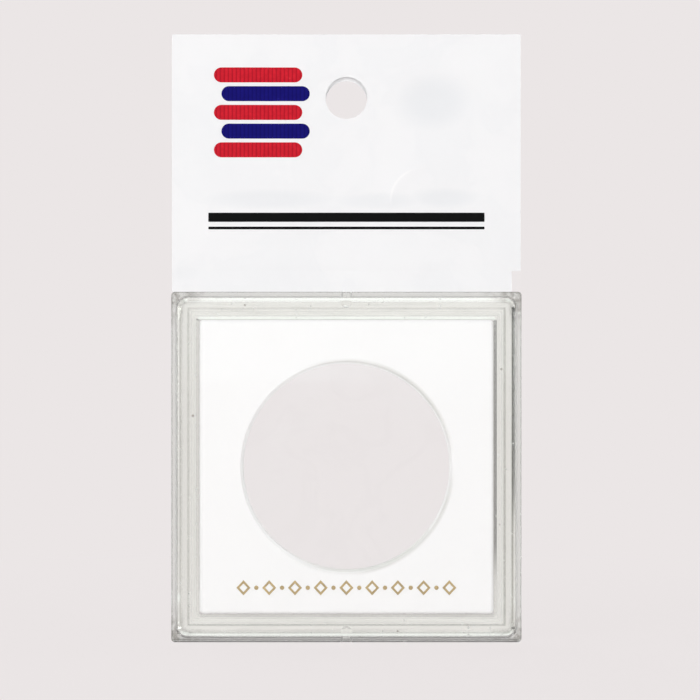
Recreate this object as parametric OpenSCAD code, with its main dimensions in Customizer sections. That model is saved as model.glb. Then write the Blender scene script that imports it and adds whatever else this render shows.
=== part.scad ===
// Square snap-together coin holder with a white insert, on a hang header of film.
// It stands on its lower edge: +X right, +Z up, and the front window faces -Y.

/* [Coin] */
// Diameter of the coin that the holder takes
coin_d = 38.1; // [20:0.1:46]
// Play between the coin's rim and its seat, on the radius
coin_play = 0.15; // [0.05:0.05:0.4]
// Bevel on the front edge of the coin seat
seat_bevel = 0.5; // [0.1:0.05:0.8]

/* [Back shell] */
// Width and height of the square case
case_w = 65; // [62:0.5:90]
// Radius of the case's outer corners
case_corner_r = 0.7; // [0.5:0.1:2]
// Bevel round the rear edge of the case
back_bevel = 0.1; // [0.1:0.1:0.8]
// Thickness of the back window
back_window_t = 1.5; // [1:0.1:3]
// Thickness of the outer wall
outer_wall_t = 1; // [0.8:0.1:1.4]
// Thickness of the inner wall that locates the insert
inner_wall_t = 1.85; // [1.2:0.05:2.4]
// Lead-in bevel on the inner wall's edge, round the insert
pocket_bevel = 0.55; // [0.2:0.05:1]
// Radius of the corners of the inner wall and the skirt's inside
wall_corner_r = 0.3; // [0.1:0.1:1]
// Lead-in bevel on the outer wall's edge, round the groove
groove_bevel = 0.25; // [0.1:0.05:0.5]

/* [Front shell] */
// Thickness of the front window
front_window_t = 1.5; // [1.2:0.05:3]
// Gap between the inner wall's end and the front window
seat_gap = 0.05; // [0.02:0.01:0.08]
// Thickness of the skirt that goes into the back shell's groove
skirt_t = 1.9; // [1.2:0.1:2.4]
// Gap between the skirt and each wall of the groove
skirt_gap = 0.2; // [0.1:0.05:0.4]
// Gap between the skirt's end and the bottom of the groove
skirt_end_gap = 0.3; // [0.2:0.1:0.8]
// Lead-in bevel round the end of the skirt
skirt_bevel = 0.15; // [0.1:0.05:0.6]
// How far the front window stands proud of the outer wall
front_proud = 0.7; // [0.4:0.05:1]
// Radius of the front shell's corners
front_corner_r = 1.8; // [1:0.1:3]
// Bevel round the front window
front_bevel = 0.7; // [0.2:0.05:0.9]
// Length of the friction bead on each side of the skirt
bead_l = 50; // [8:1:54]
// Radius of the friction bead's round
bead_r = 0.6; // [0.4:0.05:0.8]
// Play left between the friction bead and the outer wall
bead_play = 0.03; // [0.02:0.01:0.06]

/* [Pry notches] */
// Width of the notch in the middle of the upper and lower rims
notch_w = 2.1; // [1.2:0.1:4]
// How far the notch reaches into the front shell's rim
notch_l = 1.8; // [1:0.1:3]
// Depth of the notch below the front shell's face
notch_t = 0.25; // [0.2:0.05:0.8]
// Depth of the notch below the outer wall's rim
wall_notch_t = 0.3; // [0.2:0.05:1.2]
// How far the notch's wall slopes in towards its floor
notch_slope = 0.4; // [0.1:0.05:0.6]

/* [Insert] */
// Thickness of the white insert
insert_t = 3.2; // [2.6:0.1:5]
// Gap between the back window and the insert
back_gap = 0.05; // [0.02:0.01:0.2]
// Gap between the insert and the inner wall, on each side
insert_gap = 0.1; // [0.05:0.05:0.3]
// Radius of the insert's corners
insert_corner_r = 0.7; // [0.7:0.1:1]
// How far the insert's front edge is eased
insert_ease = 0.6; // [0.2:0.1:0.6]
// Room between the insert's face and the front window
face_room = 0.1; // [0.08:0.01:0.3]

/* [Foil ornament] */
// Length of the row of gold lozenges and dots
foil_l = 40.8; // [20:0.2:44]
// Height of a lozenge
lozenge_h = 2.8; // [1.6:0.1:3.2]
// Width of a lozenge
lozenge_w = 2.6; // [1.4:0.1:3]
// Width of the lozenge's stroke
foil_stroke = 0.4; // [0.2:0.05:0.6]
// Diameter of a dot
foil_dot_d = 0.8; // [0.4:0.1:1]
// Number of lozenges
lozenges = 9; // [3:1:10]
// Thickness of the foil
foil_t = 0.05; // [0.03:0.01:0.06]
// Where the row sits between the insert's edge, 0, and the coin seat, 1
foil_place = 0.6; // [0.4:0.05:0.6]

/* [Hang header] */
// Height of the header above the case
header_h = 48.2; // [30:0.5:80]
// How far the film and the header stand past each side of the case
film_overhang = 0.1; // [0.1:0.1:2]
// Thickness of the clear film behind the case
film_t = 0.2; // [0.15:0.05:0.4]
// Thickness of each white ply of the header
ply_t = 0.2; // [0.15:0.05:0.4]
// Gap between the floor and the film's lower edge
film_floor_gap = 0.6; // [0.2:0.1:3]
// Height of the fold line above the case
fold_rise = 0.7; // [0.6:0.1:2]
// Gap between the fold line's bead and the header
fold_gap = 0.2; // [0.15:0.05:0.4]
// Height of the front ply's lower edge above the case
front_ply_rise = 4; // [2:0.5:10]
// Width of the clear margin beside the back ply's lower end
seal_margin = 1.7; // [0.5:0.1:3]
// Diameter of the hang hole
hole_d = 7.8; // [5:0.1:10]
// Distance from the header's top edge to the hang hole's centre
hole_drop = 11.9; // [8:0.1:20]

/* [Header print] */
// Thickness of the printed ink
ink_t = 0.04; // [0.03:0.01:0.06]
// Number of coins in the stacked-coin mark
mark_coins = 5; // [3:1:7]
// Length of a coin in the mark
mark_coin_l = 16.5; // [8:0.5:18]
// Thickness of a coin in the mark
mark_coin_t = 2.8; // [1.5:0.1:3.2]
// Gap between the coins in the mark
mark_gap = 0.7; // [0.3:0.1:1.2]
// How far every second coin is set aside
mark_shift = 1.4; // [0:0.1:2]
// Distance from the header's middle to the mark's middle
mark_side = 16.5; // [14:0.5:18]
// Distance from the header's top edge to the mark's middle
mark_drop = 14.6; // [12:0.1:20]
// Length of the printed rule
rule_l = 51.6; // [30:0.2:60]
// Thickness of the heavy rule
heavy_rule_t = 1.7; // [0.8:0.1:2.4]
// Thickness of the light rule
light_rule_t = 0.5; // [0.3:0.1:1]
// Gap between the two rules
rule_gap = 0.9; // [0.4:0.1:2]
// Distance from the header's top edge to the heavy rule's middle
rule_drop = 34.2; // [26:0.1:40]

/* [Hidden] */
$fn = 96;
// Keeps the faces of a cut clear of the faces that it opens.
over = 0.5;

// Widths, from the outside in.
groove_outer_w = case_w - 2 * outer_wall_t;
front_w = groove_outer_w - 2 * skirt_gap;
skirt_inner_w = front_w - 2 * skirt_t;
inner_wall_w = skirt_inner_w - 2 * skirt_gap;
pocket_w = inner_wall_w - 2 * inner_wall_t;
insert_w = pocket_w - 2 * insert_gap;
seat_r = coin_d / 2 + coin_play;
header_w = case_w + 2 * film_overhang;

// Depths, measured forward from the back of the case.
insert_back = back_window_t + back_gap;
insert_front = insert_back + insert_t;
window_back = insert_front + face_room;
inner_wall_front = window_back - seat_gap;
case_t = window_back + front_window_t;
outer_wall_front = case_t - front_proud;
skirt_l = window_back - back_window_t - skirt_end_gap;
bead_depth = window_back - skirt_l / 2;
// The bead's round lies inside the skirt and reaches almost to the outer wall.
bead_in = bead_r - skirt_gap + bead_play;

// Heights.
case_mid = case_w / 2;
fold_h = case_w + fold_rise;
header_top = case_w + header_h;
header_foot = fold_h + film_t / 2 + fold_gap;
front_ply_foot = case_w + front_ply_rise;
hole_h = header_top - hole_drop;
insert_foot = case_mid - insert_w / 2;
foil_band = insert_w / 2 - seat_r;
foil_h = insert_foot + foil_place * foil_band;

// The case's back lies this far behind the middle of the whole depth, so that
// the origin is under the middle of the part.
case_back_y = (case_t + film_t) / 2 - film_t;

// Stands a flat drawing up: its x stays, its y becomes height, and its z points forward.
module stand() {
    translate([0, case_back_y, 0])
        rotate([90, 0, 0])
            children();
}

// Places children in the middle of the case.
module at_case_middle(depth) {
    translate([0, case_mid, depth])
        children();
}

// Repeats children on the four sides of the case.
module four_sides() {
    for (turn = [0 : 90 : 270])
        rotate([0, 0, turn])
            children();
}

// Square prism with round corners.
module round_square(w, r, h) {
    linear_extrude(h) {
        square([w, w - 2 * r], center = true);
        square([w - 2 * r, w], center = true);
        for (x = [-1, 1], y = [-1, 1])
            translate([x * (w / 2 - r), y * (w / 2 - r)])
                circle(r);
    }
}

// Bar whose upper long edges slope in at 45 degrees.
module bevelled_bar(w, l, bevel) {
    rotate([90, 0, 0])
        linear_extrude(l, center = true)
            polygon([[-w / 2, 0], [w / 2, 0], [w / 2 - bevel, bevel], [bevel - w / 2, bevel]]);
}

// Square slab with round corners that slopes in at 45 degrees all round.
module bevel_slab(w, r, bevel) {
    bevelled_bar(w, w - 2 * r, bevel);
    rotate([0, 0, 90])
        bevelled_bar(w, w - 2 * r, bevel);
    for (x = [-1, 1], y = [-1, 1])
        translate([x * (w / 2 - r), y * (w / 2 - r), 0])
            cylinder(r1 = r, r2 = r - bevel, h = bevel);
}

// Square prism with round corners and a bevel round its upper face.
module bevelled_square(w, r, h, bevel) {
    round_square(w, r, h - bevel);
    translate([0, 0, h - bevel])
        bevel_slab(w, r, bevel);
}

// Points of an eased edge, from its side up: distance in from the side, and height.
function eased_edge(h, ease) =
    [for (turn = [0 : 30 : 90]) [ease * (1 - cos(turn)), h - ease + ease * sin(turn)]];

// Square prism with round corners and an upper edge that is eased in three slopes.
module eased_square(w, r, h, ease) {
    edge = eased_edge(h, ease);
    last = len(edge) - 1;
    for (turn = [0, 90])
        rotate([90, 0, turn])
            linear_extrude(w - 2 * r, center = true)
                polygon(concat([[-w / 2, 0], [w / 2, 0]],
                    [for (p = edge) [w / 2 - p[0], p[1]]],
                    [for (i = [0 : last]) [edge[last - i][0] - w / 2, edge[last - i][1]]]));
    for (x = [-1, 1], y = [-1, 1])
        translate([x * (w / 2 - r), y * (w / 2 - r), 0])
            rotate_extrude()
                polygon(concat([[0, 0], [r, 0]], [for (p = edge) [r - p[0], p[1]]], [[0, h]]));
}

// Cut that widens the mouth of a square opening by a bevel all round.
module lead_in(w, r, bevel) {
    mirror([0, 0, 1])
        bevel_slab(w + 2 * bevel, r + bevel, bevel);
    round_square(w + 2 * bevel, r + bevel, over);
}

// Notch with sloping walls that runs in from the upper rim's edge and ends in a half round.
module pry_notch(from, reach, depth) {
    mouth = notch_w + 2 * notch_slope * over / depth;
    floor_w = notch_w - 2 * notch_slope;
    translate([0, from - reach + notch_w / 2, -depth]) {
        cylinder(d1 = floor_w, d2 = mouth, h = depth + over);
        rotate([-90, 0, 0])
            linear_extrude(reach + over)
                polygon([[-floor_w / 2, 0], [floor_w / 2, 0],
                    [mouth / 2, -depth - over], [-mouth / 2, -depth - over]]);
    }
}

// The two pry notches, in the middle of the upper and lower rims.
module pry_notches(from, reach, depth) {
    for (turn = [0, 180])
        rotate([0, 0, turn])
            pry_notch(from, reach, depth);
}

// Clear rear half: a window with an outer wall, a groove and the wall round the insert.
module back_shell() {
    color("gainsboro", 0.4)
        stand()
            difference() {
                union() {
                    at_case_middle(back_window_t)
                        mirror([0, 0, 1])
                            bevelled_square(case_w, case_corner_r, back_window_t, back_bevel);
                    at_case_middle(back_window_t)
                        round_square(case_w, case_corner_r, outer_wall_front - back_window_t);
                }
                at_case_middle(back_window_t)
                    difference() {
                        round_square(groove_outer_w, front_corner_r + skirt_gap, case_t);
                        round_square(inner_wall_w, wall_corner_r, inner_wall_front - back_window_t);
                    }
                at_case_middle(outer_wall_front)
                    lead_in(groove_outer_w, front_corner_r + skirt_gap, groove_bevel);
                at_case_middle(back_window_t)
                    round_square(pocket_w, wall_corner_r, case_t);
                at_case_middle(inner_wall_front)
                    lead_in(pocket_w, wall_corner_r, pocket_bevel);
                at_case_middle(outer_wall_front)
                    pry_notches(case_w / 2, outer_wall_t + notch_w, wall_notch_t);
            }
}

// Half-round friction beads, one on each side of the skirt.
module friction_beads() {
    four_sides()
        translate([0, front_w / 2 - bead_in, 0])
            rotate([0, 90, 0])
                cylinder(r = bead_r, h = bead_l, center = true);
}

// Clear front half: a bevelled window with a skirt that goes into the groove.
module front_shell() {
    color("whitesmoke", 0.4)
        stand()
            difference() {
                union() {
                    at_case_middle(window_back)
                        bevelled_square(front_w, front_corner_r, front_window_t, front_bevel);
                    at_case_middle(window_back)
                        mirror([0, 0, 1])
                            difference() {
                                bevelled_square(front_w, front_corner_r, skirt_l, skirt_bevel);
                                round_square(skirt_inner_w, wall_corner_r, skirt_l + over);
                            }
                    at_case_middle(bead_depth)
                        friction_beads();
                }
                at_case_middle(case_t)
                    pry_notches(front_w / 2, notch_l, notch_t);
            }
}

// White plate that holds the coin.
module insert_plate() {
    color("white")
        stand()
            at_case_middle(insert_back)
                difference() {
                    eased_square(insert_w, insert_corner_r, insert_t, insert_ease);
                    translate([0, 0, -over])
                        cylinder(r = seat_r, h = insert_t + 2 * over);
                    translate([0, 0, insert_t - seat_bevel])
                        cylinder(r1 = seat_r, r2 = seat_r + seat_bevel, h = seat_bevel);
                }
}

// Outline of one lozenge.
module lozenge() {
    slope = norm([lozenge_w, lozenge_h]);
    inner_w = lozenge_w - 2 * foil_stroke * slope / lozenge_h;
    inner_h = lozenge_h - 2 * foil_stroke * slope / lozenge_w;
    difference() {
        polygon([[lozenge_w / 2, 0], [0, lozenge_h / 2], [-lozenge_w / 2, 0], [0, -lozenge_h / 2]]);
        polygon([[inner_w / 2, 0], [0, inner_h / 2], [-inner_w / 2, 0], [0, -inner_h / 2]]);
    }
}

// Row of gold foil lozenges and dots below the coin seat.
module foil_ornament() {
    step = (foil_l - lozenge_w) / (lozenges - 1);
    color("darkgoldenrod")
        stand()
            translate([-(foil_l - lozenge_w) / 2, foil_h, insert_front])
                for (i = [0 : lozenges - 1])
                    translate([i * step, 0, 0]) {
                        linear_extrude(foil_t)
                            lozenge();
                        if (i < lozenges - 1)
                            translate([step / 2, 0, 0])
                                cylinder(d = foil_dot_d, h = foil_t);
                    }
}

// Clear film behind the case, with a round bead along the fold line.
module hanger_film() {
    color("aliceblue", 0.3)
        stand() {
            translate([-header_w / 2, film_floor_gap, -film_t])
                cube([header_w, fold_h - film_floor_gap, film_t]);
            translate([0, fold_h, -film_t / 2])
                rotate([0, 90, 0])
                    cylinder(d = film_t, h = header_w, center = true);
        }
}

// Round hole through the header for a peg.
module hang_hole() {
    translate([0, hole_h, -film_t - over])
        cylinder(d = hole_d, h = film_t + ply_t + 2 * over);
}

// White rear ply of the header, narrower below the front ply's edge.
module header_back_ply() {
    color("white")
        stand()
            difference() {
                union() {
                    translate([-header_w / 2, front_ply_foot, -film_t])
                        cube([header_w, header_top - front_ply_foot, film_t]);
                    translate([seal_margin - header_w / 2, header_foot, -film_t])
                        cube([header_w - 2 * seal_margin, front_ply_foot - header_foot, film_t]);
                }
                hang_hole();
            }
}

// White front ply of the header, sealed to the rear one.
module header_front_ply() {
    color("white")
        stand()
            difference() {
                translate([-header_w / 2, front_ply_foot, 0])
                    cube([header_w, header_top - front_ply_foot, ply_t]);
                hang_hole();
            }
}

// Coins of the stacked-coin mark: every second one, counted from first.
module stacked_coins(first) {
    pitch = mark_coin_t + mark_gap;
    foot = header_top - mark_drop - (mark_coins - 1) * pitch / 2;
    half_run = (mark_coin_l - mark_coin_t) / 2;
    stand()
        for (i = [first : 2 : mark_coins - 1])
            translate([-mark_side + (i % 2) * mark_shift, foot + i * pitch, ply_t]) {
                translate([-half_run, -mark_coin_t / 2, 0])
                    cube([2 * half_run, mark_coin_t, ink_t]);
                for (x = [-half_run, half_run])
                    translate([x, 0, 0])
                        cylinder(d = mark_coin_t, h = ink_t);
            }
}

// Red coins of the printed mark.
module header_mark_red() {
    color("crimson")
        stacked_coins(0);
}

// Blue coins of the printed mark.
module header_mark_blue() {
    color("midnightblue")
        stacked_coins(1);
}

// Printed black double rule.
module header_rule() {
    heavy_foot = header_top - rule_drop - heavy_rule_t / 2;
    color("black")
        stand()
            translate([-rule_l / 2, heavy_foot, ply_t]) {
                cube([rule_l, heavy_rule_t, ink_t]);
                translate([0, -rule_gap - light_rule_t, 0])
                    cube([rule_l, light_rule_t, ink_t]);
            }
}

back_shell();
front_shell();
insert_plate();
foil_ornament();
hanger_film();
header_back_ply();
header_front_ply();
header_mark_red();
header_mark_blue();
header_rule();
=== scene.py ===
import math

import bpy
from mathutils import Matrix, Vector, noise


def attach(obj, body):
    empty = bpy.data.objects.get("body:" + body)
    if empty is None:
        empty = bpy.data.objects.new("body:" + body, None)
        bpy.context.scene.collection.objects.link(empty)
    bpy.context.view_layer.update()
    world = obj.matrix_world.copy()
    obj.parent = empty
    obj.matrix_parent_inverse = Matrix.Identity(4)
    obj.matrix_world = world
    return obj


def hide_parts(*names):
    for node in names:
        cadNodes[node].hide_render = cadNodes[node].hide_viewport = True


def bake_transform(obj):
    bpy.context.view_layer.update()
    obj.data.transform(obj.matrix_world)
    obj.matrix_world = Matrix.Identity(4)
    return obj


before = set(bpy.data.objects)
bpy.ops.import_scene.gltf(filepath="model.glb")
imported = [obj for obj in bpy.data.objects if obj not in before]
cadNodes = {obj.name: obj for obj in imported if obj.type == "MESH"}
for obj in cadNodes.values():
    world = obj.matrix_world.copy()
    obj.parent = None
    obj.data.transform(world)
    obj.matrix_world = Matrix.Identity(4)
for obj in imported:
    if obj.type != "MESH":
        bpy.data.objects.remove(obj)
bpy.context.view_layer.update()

mm = 0.001
noiseMiddle = 0.5  # a noise texture's values lie about this
print("frame loaded with", len(cadNodes), "CAD nodes")


# small tools for node trees
def addNode(tree, kind, values=None, **settings):
    node = tree.nodes.new(kind)
    for name, value in settings.items():
        setattr(node, name, value)
    for name, value in (values or {}).items():
        node.inputs[name].default_value = value
    return node


# a number or colour is set on the socket, and an output is linked to it
def feed(tree, value, socket):
    if isinstance(value, (int, float)):
        socket.default_value = value
    elif isinstance(value, tuple):
        socket.default_value = value if len(value) == 4 else (*value, 1)
    else:
        tree.links.new(value, socket)


# every group takes coordinates
def startGroup(name, takes, gives):
    group = bpy.data.node_groups.new(name, "ShaderNodeTree")
    for label, kind, value in [("Coords", "Vector", None), *takes]:
        socket = group.interface.new_socket(label, in_out="INPUT", socket_type="NodeSocket" + kind)
        if value is not None:
            socket.default_value = value
    for label, kind in gives:
        group.interface.new_socket(label, in_out="OUTPUT", socket_type="NodeSocket" + kind)
    return group, addNode(group, "NodeGroupInput").outputs, addNode(group, "NodeGroupOutput").inputs


def placeGroup(tree, group, coords, values):
    node = addNode(tree, "ShaderNodeGroup", node_tree=group)
    for name, value in values.items():
        node.inputs[name].default_value = value
    tree.links.new(coords, node.inputs["Coords"])
    return node


def doMath(tree, operation, first, second=None, clamp=False):
    node = addNode(tree, "ShaderNodeMath", operation=operation, use_clamp=clamp)
    feed(tree, first, node.inputs[0])
    if second is not None:
        feed(tree, second, node.inputs[1])
    return node.outputs[0]


def times(tree, first, *others):
    for other in others:
        first = doMath(tree, "MULTIPLY", first, other)
    return first


def largest(tree, first, *others):
    for other in others:
        first = doMath(tree, "MAXIMUM", first, other)
    return first


def offFrom(tree, value, middle):
    return doMath(tree, "ABSOLUTE", doMath(tree, "SUBTRACT", value, middle))


def rampBetween(tree, value, low, high, toLow=0.0, toHigh=1.0):
    node = addNode(tree, "ShaderNodeMapRange", interpolation_type="SMOOTHSTEP")
    names = ("Value", "From Min", "From Max", "To Min", "To Max")
    for name, amount in zip(names, (value, low, high, toLow, toHigh)):
        feed(tree, amount, node.inputs[name])
    return node.outputs["Result"]


def mixColor(tree, share, first, second, blend="MIX"):
    node = addNode(tree, "ShaderNodeMix", data_type="RGBA", blend_type=blend, clamp_factor=True)
    for slot, value in ((0, share), (6, first), (7, second)):
        feed(tree, value, node.inputs[slot])
    return node.outputs[2]


def addNoise(tree, coords, scale, values):
    node = addNode(tree, "ShaderNodeTexNoise", values)
    tree.links.new(coords, node.inputs["Vector"])
    feed(tree, scale, node.inputs["Scale"])
    return node.outputs["Fac"]


def splitXyz(tree, vector):
    parts = addNode(tree, "ShaderNodeSeparateXYZ")
    tree.links.new(vector, parts.inputs[0])
    return parts.outputs["X"], parts.outputs["Y"], parts.outputs["Z"]


# handling scuffs: hair-thin lines in two directions, in patches
scuffMarks = {
    "directions": [(0.5, 26.0), (-0.9, 34.0)],  # turn, and how many times longer than wide
    "tilt": (0.3, 0.2), "hairline": 0.02, "patches": (0.52, 0.7), "haze": (0.35, 0.75, 0.0, 0.25),
}


def makeScuffs():
    group, takes, gives = startGroup(
        "handlingScuffs",
        [("Scale", "Float", 60.0), ("Amount", "Float", 0.1), ("Base", "Float", 0.03)],
        [("Roughness", "Float"), ("Height", "Float")],
    )
    coords, scale = takes["Coords"], takes["Scale"]
    tiltX, tiltZ = scuffMarks["tilt"]
    lines = []
    for turn, stretch in scuffMarks["directions"]:
        turned = addNode(group, "ShaderNodeMapping",
                         {"Rotation": (tiltX, turn, tiltZ), "Scale": (1, stretch, stretch)})
        group.links.new(coords, turned.inputs["Vector"])
        streaks = addNoise(group, turned.outputs["Vector"], scale, {"Detail": 1.0, "Distortion": 0.4})
        away = offFrom(group, streaks, noiseMiddle)
        lines.append(rampBetween(group, away, 0.0, scuffMarks["hairline"], 1.0, 0.0))
    patches = addNoise(group, coords, scale, {"Detail": 2.0})
    marks = times(group, largest(group, *lines), rampBetween(group, patches, *scuffMarks["patches"]))
    haze = rampBetween(group, patches, *scuffMarks["haze"])
    rough = times(group, doMath(group, "ADD", marks, haze), takes["Amount"])
    group.links.new(doMath(group, "ADD", rough, takes["Base"]), gives["Roughness"])
    group.links.new(doMath(group, "SUBTRACT", 1.0, marks), gives["Height"])
    return group


# dust flecks: a few small round specks, most cells stay clean
fleckShape = {"smallest": 0.3, "core": 0.5}


def makeFlecks():
    group, takes, gives = startGroup(
        "dustFlecks",
        [("Scale", "Float", 300.0), ("Share", "Float", 0.1), ("Size", "Float", 0.12)],
        [("Mask", "Float")],
    )
    cells = addNode(group, "ShaderNodeTexVoronoi", {"Randomness": 1.0})
    group.links.new(takes["Coords"], cells.inputs["Vector"])
    group.links.new(takes["Scale"], cells.inputs["Scale"])
    lot = addNode(group, "ShaderNodeSeparateColor")
    group.links.new(cells.outputs["Color"], lot.inputs["Color"])
    chosen = doMath(group, "LESS_THAN", lot.outputs["Red"], takes["Share"])
    size = doMath(group, "ADD", lot.outputs["Green"], fleckShape["smallest"])
    width = times(group, takes["Size"], size)
    core = times(group, width, fleckShape["core"])
    speck = rampBetween(group, cells.outputs["Distance"], core, width, 1.0, 0.0)
    group.links.new(times(group, chosen, speck), gives["Mask"])
    return group


# fine grain: a close moulded or printed grain and a slow change of tone
slowGrain = 0.03  # the slow change's scale, as a share of the close grain's


def makeGrain():
    group, takes, gives = startGroup(
        "fineGrain",
        [("Scale", "Float", 2500.0), ("Contrast", "Float", 0.02)],
        [("Tone", "Float"), ("Height", "Float")],
    )
    coords, scale = takes["Coords"], takes["Scale"]
    close = addNoise(group, coords, scale, {"Detail": 3.0, "Roughness": 0.6})
    slow = addNoise(group, coords, times(group, scale, slowGrain), {"Detail": 2.0})
    both = doMath(group, "SUBTRACT", doMath(group, "ADD", close, slow), 2 * noiseMiddle)
    swing = times(group, both, takes["Contrast"])
    group.links.new(doMath(group, "ADD", swing, 1.0), gives["Tone"])
    group.links.new(close, gives["Height"])
    return group


# film crinkle: ridged creases over slow swells
crinkleShape = {"ridgeWidth": 0.05, "ridgeRise": 0.08}


def makeCrinkle():
    group, takes, gives = startGroup(
        "filmCrinkle",
        [("Scale", "Float", 90.0)],
        [("Height", "Float"), ("Ridge", "Float")],
    )
    bent = addNoise(group, takes["Coords"], takes["Scale"],
                    {"Detail": 3.0, "Roughness": 0.55, "Distortion": 0.6})
    away = offFrom(group, bent, noiseMiddle)
    ridge = rampBetween(group, away, 0.0, crinkleShape["ridgeWidth"], 1.0, 0.0)
    raised = doMath(group, "ADD", bent, times(group, ridge, crinkleShape["ridgeRise"]))
    group.links.new(raised, gives["Height"])
    group.links.new(ridge, gives["Ridge"])
    return group


# print mottle: uneven ink with pin-holes that show the ground
mottleShape = {"span": (0.3, 0.75), "tone": (0.88, 1.06), "rough": (0.32, 0.5), "bare": (0.68, 0.8)}


def makeMottle():
    group, takes, gives = startGroup(
        "printMottle",
        [("Ink", "Color", (0.5, 0.5, 0.5, 1)), ("Ground", "Color", (0.9, 0.9, 0.9, 1)),
         ("Scale", "Float", 900.0), ("Pinholes", "Float", 0.1)],
        [("Color", "Color"), ("Roughness", "Float")],
    )
    span = mottleShape["span"]
    uneven = addNoise(group, takes["Coords"], takes["Scale"],
                      {"Detail": 4.0, "Roughness": 0.65})
    thin = rampBetween(group, uneven, *span, *mottleShape["tone"])
    toned = mixColor(group, 1.0, takes["Ink"], thin, "MULTIPLY")
    bare = times(group, rampBetween(group, uneven, *mottleShape["bare"]), takes["Pinholes"])
    group.links.new(mixColor(group, bare, toned, takes["Ground"]), gives["Color"])
    rough = rampBetween(group, uneven, *span, *mottleShape["rough"])
    group.links.new(rough, gives["Roughness"])
    return group


# spot reach: distance from a spot, 1 on the ellipse round it
def makeSpotReach():
    group, takes, gives = startGroup(
        "spotReach",
        [("Middle", "Vector", None), ("Per Half", "Vector", None)],
        [("Reach", "Float")],
    )
    spot = takes["Coords"]
    for operation, label in (("SUBTRACT", "Middle"), ("MULTIPLY", "Per Half")):
        step = addNode(group, "ShaderNodeVectorMath", operation=operation)
        group.links.new(spot, step.inputs[0])
        group.links.new(takes[label], step.inputs[1])
        spot = step.outputs[0]
    reach = addNode(group, "ShaderNodeVectorMath", operation="LENGTH")
    group.links.new(spot, reach.inputs[0])
    group.links.new(reach.outputs["Value"], gives["Reach"])
    return group


# rim tone: walls, painted shade in the gaps, on the outer wall and on the sides, streaks, corner grime and
# worn edges, by distance from the case's edge (m)
rimShape = {
    "half": 0.0325, "width": 0.00525, "fade": 0.96, "mitre": 0.002,
    "wallFacing": (0.15, 0.85), "flatFacing": (0.3, 0.7),
    "streakScale": 1500.0, "streakAlong": 0.07, "streakDeep": 0.2, "streakSpan": (0.42, 0.68),
    # the gaps before the skirt and before the insert, darkened with painted shade: middle, half width,
    # strength
    "gaps": [(0.00112, 0.00022, 0.22), (0.00518, 0.00022, 0.62)],
    # the groove: middle and half width, and its painted shade, which is strong on the right and weak at the
    # top
    "groove": (0.00312, 0.00033), "dustAndShade": (0.5, 1.0), "shadeAtTop": 0.5,
    "gapCore": 0.5, "gapOnWalls": 0.3, "inside": (-0.00175, 0.0029),
    "sideFrom": (0.0018, 0.0022), "bandTo": (0.00085, 0.00105),
    "cornerFrom": 0.009, "cornerFull": 0.001, "smudgeTo": (0.0014, 0.0026),
    "smudgeScale": 900.0, "smudgeSpan": (0.4, 0.58),
    # worn matt: the face it stands on, the outer wall's small bevels, two fine moulded steps
    "soleHigh": 0.00012, "soleFacing": 0.6, "bevelFacing": (0.3, 0.95), "bevelTo": 0.00105,
    "steps": (0.00372, 0.0044), "stepEdge": (0.00006, 0.00014), "stepWear": 0.7,
}


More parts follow.
